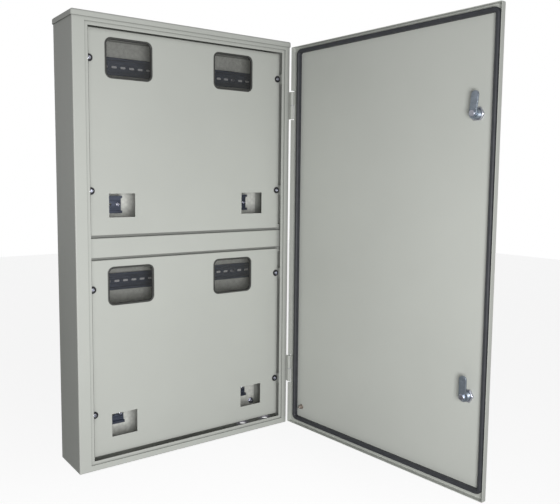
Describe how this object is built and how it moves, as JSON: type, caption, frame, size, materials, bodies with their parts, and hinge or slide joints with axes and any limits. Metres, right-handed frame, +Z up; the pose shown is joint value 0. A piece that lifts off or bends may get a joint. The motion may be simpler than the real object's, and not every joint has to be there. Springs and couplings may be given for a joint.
{
  "type": "electric meter box",
  "caption": "Tall wall-hung sheet-steel meter box with its door open, inner panels with round-cornered windows and breaker cut-outs, rails behind them, and quarter-turn locks.",
  "frame": {"origin": "centre of the four wall-fixing holes, on the face of the wall", "axes": "+X to the right seen from the front, +Y into the wall, +Z up"},
  "size_m": [0.5465, 0.6115, 0.8711],
  "materials": {
    "painted_sheet": "light grey powder coat, satin",
    "painted_hinge": "light grey powder coat, satin",
    "zinc_sheet": "zinc-plated sheet, dull",
    "rail_steel": "zinc-plated and passivated, bluish",
    "zinc_fasteners": "zinc-plated, bright",
    "copper_plating": "copper-plated steel, slightly tarnished",
    "washer_plastic": "black moulded plastic, satin",
    "lock_metal": "zinc-plated die casting, blue-grey",
    "window_rubber": "matt black",
    "foam_rubber": "matt dark grey foam",
    "grommet_rubber": "pale grey, soft",
    "clear_pane": "clear, slightly smoky, glossy"
  },
  "bodies": {
    "enclosure": {"body_shell": "painted_sheet", "roof_cap": "painted_sheet", "divider_rail": "painted_sheet", "upper_panel": "painted_sheet", "lower_panel": "painted_sheet", "panel_brackets": "painted_sheet", "cable_grommets": "grommet_rubber", "panel_washers": "washer_plastic", "panel_screws": "zinc_fasteners", "plate_studs": "zinc_fasteners", "plate_spacers": "zinc_fasteners", "plate_washers": "zinc_fasteners", "plate_nuts": "zinc_fasteners", "meter_rail_screws": "zinc_fasteners", "breaker_rail_standoffs": "zinc_fasteners", "breaker_rail_screws": "zinc_fasteners", "mounting_plate": "zinc_sheet", "window_seal_upper_left": "window_rubber", "window_pane_upper_left": "clear_pane", "breaker_rail_upper_left": "rail_steel", "window_seal_upper_right": "window_rubber", "window_pane_upper_right": "clear_pane", "breaker_rail_upper_right": "rail_steel", "window_seal_lower_left": "window_rubber", "window_pane_lower_left": "clear_pane", "breaker_rail_lower_left": "rail_steel", "window_seal_lower_right": "window_rubber", "window_pane_lower_right": "clear_pane", "breaker_rail_lower_right": "rail_steel", "meter_rail_upper": "rail_steel", "hinge_fixed_half_upper": "painted_hinge", "hinge_washer_upper": "zinc_fasteners", "hinge_pin_upper": "zinc_fasteners", "meter_rail_lower": "rail_steel", "hinge_fixed_half_lower": "painted_hinge", "hinge_washer_lower": "zinc_fasteners", "hinge_pin_lower": "zinc_fasteners"},
    "door": {"door_pan": "painted_sheet", "door_gasket": "foam_rubber", "earth_stud": "copper_plating", "earth_washer": "copper_plating", "earth_nut": "copper_plating", "hinge_door_half_upper": "painted_hinge", "lock_housing_upper": "lock_metal", "lock_nut_upper": "lock_metal", "hinge_door_half_lower": "painted_hinge", "lock_housing_lower": "lock_metal", "lock_nut_lower": "lock_metal"},
    "upper_lock": {"lock_core_upper": "lock_metal", "lock_cam_upper": "lock_metal", "cam_screw_upper": "zinc_fasteners"},
    "lower_lock": {"lock_core_lower": "lock_metal", "lock_cam_lower": "lock_metal", "cam_screw_lower": "zinc_fasteners"}
  },
  "joints": [
    {"name": "door_hinge", "type": "hinge", "parent": "enclosure", "child": "door", "pos_m": [0.2528, -0.1086, 0], "axis": [0, 0, 1], "range_deg": [-94, 26]},
    {"name": "upper_lock_turn", "type": "hinge", "parent": "door", "child": "upper_lock", "pos_m": [0.2764, -0.56938, 0.244], "axis": [0.9976, 0.0698, 0], "range_deg": [-6, 84]},
    {"name": "lower_lock_turn", "type": "hinge", "parent": "door", "child": "lower_lock", "pos_m": [0.2764, -0.56938, -0.248], "axis": [0.9976, 0.0698, 0], "range_deg": [0, 90]}
  ]
}
